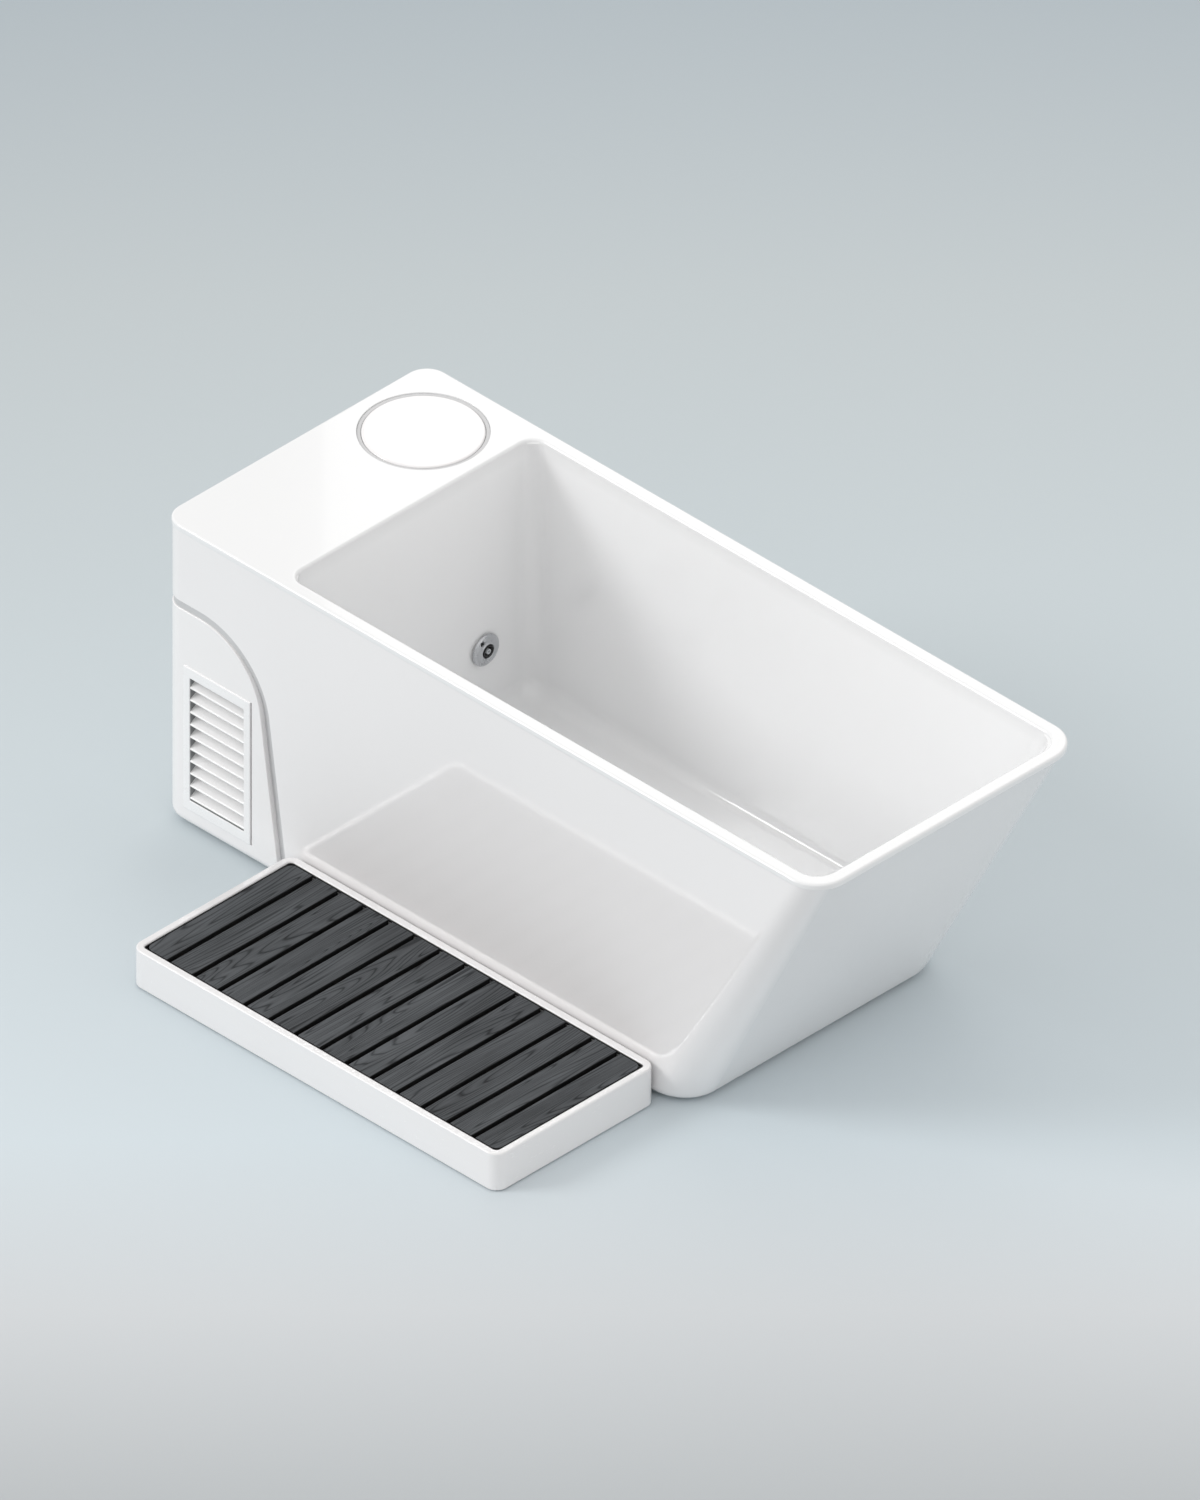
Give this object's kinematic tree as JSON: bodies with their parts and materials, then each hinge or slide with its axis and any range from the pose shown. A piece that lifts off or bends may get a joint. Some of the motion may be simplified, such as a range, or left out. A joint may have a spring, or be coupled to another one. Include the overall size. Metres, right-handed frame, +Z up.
{
  "type": "cold plunge tub",
  "caption": "Raked white cold plunge tub with an equipment bay, round deck hatch and louvred service cover, and a low free-standing step with dark planks.",
  "frame": {"origin": "middle of the floor area that the tub and its step cover together, at floor level", "axes": "+X along the tub towards its raked end, +Y from the step towards the back of the tub, +Z up"},
  "size_m": [1.85, 1.206, 0.73],
  "materials": {
    "shell_white": "high-gloss moulded white",
    "liner_white": "high-gloss moulded white",
    "grille_white": "satin moulded white",
    "panel_grey": "matt foamed board",
    "pan_black": "matt moulded black",
    "rubber_black": "matt rubber",
    "foam": "cut rigid foam",
    "steel": "brushed",
    "housing_grey": "satin moulded grey",
    "filter_paper": "pleated fleece",
    "cap_blue": "cast blue end caps",
    "coil_aluminium": "rolled fins",
    "motor_grey": "enamelled",
    "compressor_black": "gloss enamel",
    "impeller_white": "moulded",
    "pipe_white": "satin pressure pipe",
    "copper": "drawn copper",
    "jet_metal": "satin metal",
    "bearer_wood": "treated rail",
    "plank_charcoal": "embossed charcoal grain"
  },
  "bodies": {
    "tub": {"outer_shell": "shell_white", "basin": "liner_white", "bulkhead": "panel_grey", "base_pan": "pan_black", "base_pads": "rubber_black", "foam_front": "foam", "foam_back": "foam", "foam_end": "foam", "foam_floor": "foam", "filter_housing": "housing_grey", "condenser_coil": "coil_aluminium", "fan_shroud": "pan_black", "fan_motor": "motor_grey", "compressor": "compressor_black", "compressor_grommets": "rubber_black", "heat_exchanger": "housing_grey", "pump_volute": "pan_black", "pump_motor": "motor_grey", "pump_cradle": "pan_black", "suction_pipe": "pipe_white", "filter_feed_pipe": "pipe_white", "chiller_feed_pipe": "pipe_white", "return_pipe": "pipe_white", "drain_pipe": "pipe_white", "discharge_line": "copper", "liquid_line": "copper", "vapour_line": "copper", "control_box": "housing_grey", "control_box_lid": "pan_black", "jet_body": "pipe_white", "jet_nut": "housing_grey", "suction_fitting": "pipe_white", "suction_nut": "housing_grey", "suction_cover": "grille_white", "drain_strainer": "steel", "drain_outlet": "pipe_white", "cable_bushing": "rubber_black"},
    "hatch": {"hatch_lid": "liner_white", "hatch_gasket": "rubber_black"},
    "filter_cartridge": {"cartridge_pleats": "filter_paper", "cartridge_caps": "cap_blue", "cartridge_handle": "cap_blue"},
    "cover": {"service_cover": "shell_white", "front_grille": "grille_white", "rear_grille": "grille_white", "cover_screws": "steel"},
    "fan": {"fan_rotor": "pan_black"},
    "impeller": {"pump_impeller": "impeller_white"},
    "jet_face": {"jet_ring": "jet_metal"},
    "jet_eye": {"jet_eyeball": "jet_metal"},
    "plug": {"drain_plug": "pan_black"},
    "step": {"step_frame": "shell_white", "step_bearers": "bearer_wood", "step_planks": "plank_charcoal", "step_pads": "rubber_black", "step_screws": "steel"}
  },
  "joints": [
    {"name": "hatch_lift", "type": "slide", "parent": "tub", "child": "hatch", "axis": [0, 0, 1], "range_m": [0, 0.44]},
    {"name": "filter_lift", "type": "slide", "parent": "tub", "child": "filter_cartridge", "axis": [0, 0, 1], "range_m": [0, 0.42]},
    {"name": "cover_slide", "type": "slide", "parent": "tub", "child": "cover", "axis": [-1, 0, 0], "range_m": [0, 0.45]},
    {"name": "fan_spin", "type": "hinge", "parent": "tub", "child": "fan", "pos_m": [-0.768, -0.07, 0.223], "axis": [0, 1, 0], "continuous": true},
    {"name": "pump_spin", "type": "hinge", "parent": "tub", "child": "impeller", "pos_m": [-0.7948, 0.258, 0.095], "axis": [0, 1, 0], "continuous": true},
    {"name": "jet_face_turn", "type": "hinge", "parent": "tub", "child": "jet_face", "pos_m": [-0.586, 0.433, 0.279], "axis": [1, 0, 0], "range_deg": [-90, 90]},
    {"name": "jet_eye_tilt", "type": "hinge", "parent": "jet_face", "child": "jet_eye", "pos_m": [-0.586, 0.433, 0.279], "axis": [0, 1, 0], "range_deg": [-18, 18]},
    {"name": "plug_turn", "type": "hinge", "parent": "tub", "child": "plug", "pos_m": [-0.495, 0.589, 0.062], "axis": [0, 1, 0], "range_deg": [0, 1080]},
    {"name": "step_slide", "type": "slide", "parent": "tub", "child": "step", "axis": [0, -1, 0], "range_m": [0, 0.6]}
  ],
  "couplings": [
    {"joint": "filter_lift", "follows": "hatch_lift", "ratio": 0.95}
  ]
}
